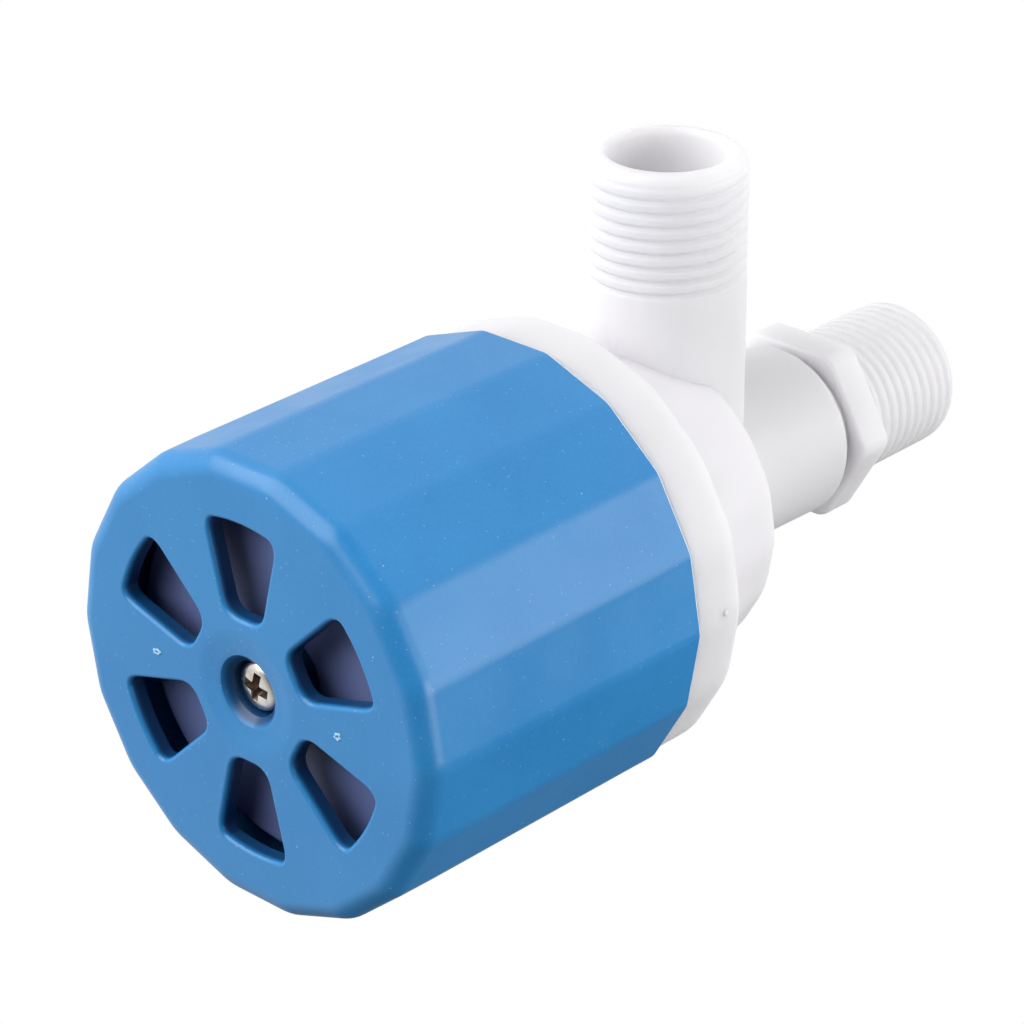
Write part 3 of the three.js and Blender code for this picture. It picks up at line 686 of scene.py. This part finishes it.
def inlet_nipple():
    low, high, edge = NIPPLE["hex_z"], SHOULDER, NIPPLE["edge_r"]
    rows = []
    for degrees in (0, 30, 60, 90):
        angle = math.radians(degrees)
        rows.append((edge * (1 - math.sin(angle)), low + edge * (1 - math.cos(angle))))
    rows += [(inset, low + high - z) for inset, z in reversed(rows)]
    hexagon = skin([[(x, y, z) for x, y in hexagon_outline(inset)] for inset, z in rows])
    made = as_object("nipple_detail", hexagon)
    stub_r, bottom = NIPPLE["stub_r"], NIPPLE["bottom"]
    groove_r, groove_low, groove_high = NIPPLE["groove_r"], NIPPLE["groove_low"], NIPPLE["groove_high"]
    stub = [(stub_r - 0.6, bottom), (stub_r, bottom + 0.6), (stub_r, groove_low)]
    stub += [(groove_r, groove_low), (groove_r, groove_high), (stub_r, groove_high), (stub_r, low + 1)]
    join(made, lathe(stub, 64))
    neck_r, end = NIPPLE["neck_r"], NIPPLE["end"]
    root = [(neck_r, high - 1.0), (neck_r, NIPPLE["thread"] - 0.6)]
    join(made, threaded(root, NIPPLE["thread"], end, NIPPLE["tip_r"], NIPPLE["tip_length"]))
    bore, lower, step = NIPPLE["bore_r"], NIPPLE["lower_bore_r"], NIPPLE["step"]
    mouth = [(bore, end - 0.7), (bore + 0.1, end - 0.35), (bore + 0.35, end), (bore + 1.0, end + 0.6)]
    cut(made, lathe([(lower, bottom - 1), (lower, step), (bore, step), *mouth], 96))
    return finished(made, "valve", ["inlet_nipple"], [MATERIALS["white_plastic"]])


# ---------------------------------------------------------------- stage

# Where the photograph was taken from: below the cup and to one side, rolled to put the side port up.
CAMERA_AT = Vector((0.20665, 0.27602, -0.36018))
RIGHT = Vector((-0.0041, 0.7360, 0.6769)).normalized()
UP = Vector((0.8977, -0.2956, 0.3268)).normalized()
TOWARDS = RIGHT.cross(UP).normalized()  # from the object to the camera
LENS = 126.0
STUDIO = {"dim": 0.1, "bright": 0.85}  # strength of the light from the surroundings
MIDDLE = Vector((0.004, 0.0, -0.055))  # where the softboxes aim
SOFTBOX_DISTANCE = 0.6
FLOOR = {"r": 4.0, "z": -0.85}


def camera():
    data = bpy.data.cameras.new("camera")
    data.lens = LENS
    data.sensor_width = 36.0
    data.clip_start = 0.01
    data.clip_end = 50.0
    made = bpy.data.objects.new("camera", data)
    bpy.context.scene.collection.objects.link(made)
    up = (UP - TOWARDS * UP.dot(TOWARDS)).normalized()
    right = up.cross(TOWARDS)
    turn = Matrix((right, up, TOWARDS)).transposed().to_4x4()
    made.matrix_world = Matrix.Translation(CAMERA_AT) @ turn
    bpy.context.scene.camera = made


def softbox(name, right, up, towards, size, power):
    """A square area light that faces the object from a direction given in the main view's axes."""
    data = bpy.data.lights.new(name, "AREA")
    data.shape = "SQUARE"
    data.size = size
    data.energy = power
    made = bpy.data.objects.new(name, data)
    made.visible_camera = False
    bpy.context.scene.collection.objects.link(made)
    direction = (RIGHT * right + UP * up + TOWARDS * towards).normalized()
    made.location = MIDDLE + direction * SOFTBOX_DISTANCE
    made.rotation_mode = "QUATERNION"
    made.rotation_quaternion = direction.to_track_quat("Z", "Y")


def surroundings():
    """Studio light from all round, dim on the camera's side and at the lower right of the view.

    The camera itself sees plain white.
    """
    world = bpy.data.worlds.new("studio")
    bpy.context.scene.world = world
    world.use_nodes = True
    tree = world.node_tree
    direction = tree.nodes.new("ShaderNodeTexCoord").outputs["Generated"]

    def ramp(axis, dark, bright):
        """Rises from 0 to 1 with the direction's reach along an axis."""
        along = tree.nodes.new("ShaderNodeVectorMath")
        along.operation = "DOT_PRODUCT"
        along.inputs[1].default_value = axis.normalized()
        tree.links.new(direction, along.inputs[0])
        rising = tree.nodes.new("ShaderNodeMapRange")
        rising.interpolation_type = "SMOOTHSTEP"
        rising.inputs["From Min"].default_value = dark
        rising.inputs["From Max"].default_value = bright
        tree.links.new(along.outputs["Value"], rising.inputs["Value"])
        return rising.outputs["Result"]

    both = tree.nodes.new("ShaderNodeMath")
    both.operation = "MULTIPLY"
    tree.links.new(ramp(-TOWARDS, -0.65, 0.0), both.inputs[0])
    tree.links.new(ramp(RIGHT * -0.4 + UP * 0.85 + TOWARDS * 0.25, -0.75, -0.25), both.inputs[1])
    strength = tree.nodes.new("ShaderNodeMapRange")
    strength.inputs["To Min"].default_value = STUDIO["dim"]
    strength.inputs["To Max"].default_value = STUDIO["bright"]
    tree.links.new(both.outputs["Value"], strength.inputs["Value"])
    light = tree.nodes["Background"]
    light.inputs["Color"].default_value = rgb(1, 1, 1)
    tree.links.new(strength.outputs["Result"], light.inputs["Strength"])
    backdrop = tree.nodes.new("ShaderNodeBackground")
    backdrop.inputs["Color"].default_value = rgb(1, 1, 1)
    seen = tree.nodes.new("ShaderNodeLightPath")
    mixed = tree.nodes.new("ShaderNodeMixShader")
    tree.links.new(seen.outputs["Is Camera Ray"], mixed.inputs["Fac"])
    tree.links.new(light.outputs["Background"], mixed.inputs[1])
    tree.links.new(backdrop.outputs["Background"], mixed.inputs[2])
    tree.links.new(mixed.outputs["Shader"], tree.nodes["World Output"].inputs["Surface"])


def floor():
    """A plain pale floor, below the main view's camera. It neither lights nor shades the object."""
    bm = bmesh.new()
    bmesh.ops.create_circle(bm, cap_ends=True, segments=96, radius=FLOOR["r"])
    made = as_object("floor", bm)
    made.location.z = FLOOR["z"]
    made.visible_diffuse = False
    made.visible_glossy = False
    made.visible_shadow = False
    paint = Paint("floor", Metallic=0.0, Roughness=0.8)
    shade = paint.span(paint.noise(3, 3), 0.3, 0.7)
    paint.use("Base Color", paint.blend(shade, rgb(0.86, 0.86, 0.87), rgb(0.9, 0.9, 0.9)))
    made.data.materials.append(paint.material)


# ---------------------------------------------------------------- assembly

paint_cad_nodes()
cup()
gate_nib("gate_nib_a", 1)
gate_nib("gate_nib_b", -1)
cup_screw()
float_shell()
valve_body()
flange_nib()
inlet_nipple()

camera()
surroundings()
softbox("key", -0.69, 0.44, 0.52, size=0.64, power=4.4)
softbox("side", 0.97, 0.14, 0.12, size=0.36, power=0.9)
softbox("right", 0.78, -0.20, 0.59, size=0.36, power=2.1)
floor()
bpy.context.scene.view_settings.view_transform = "Standard"
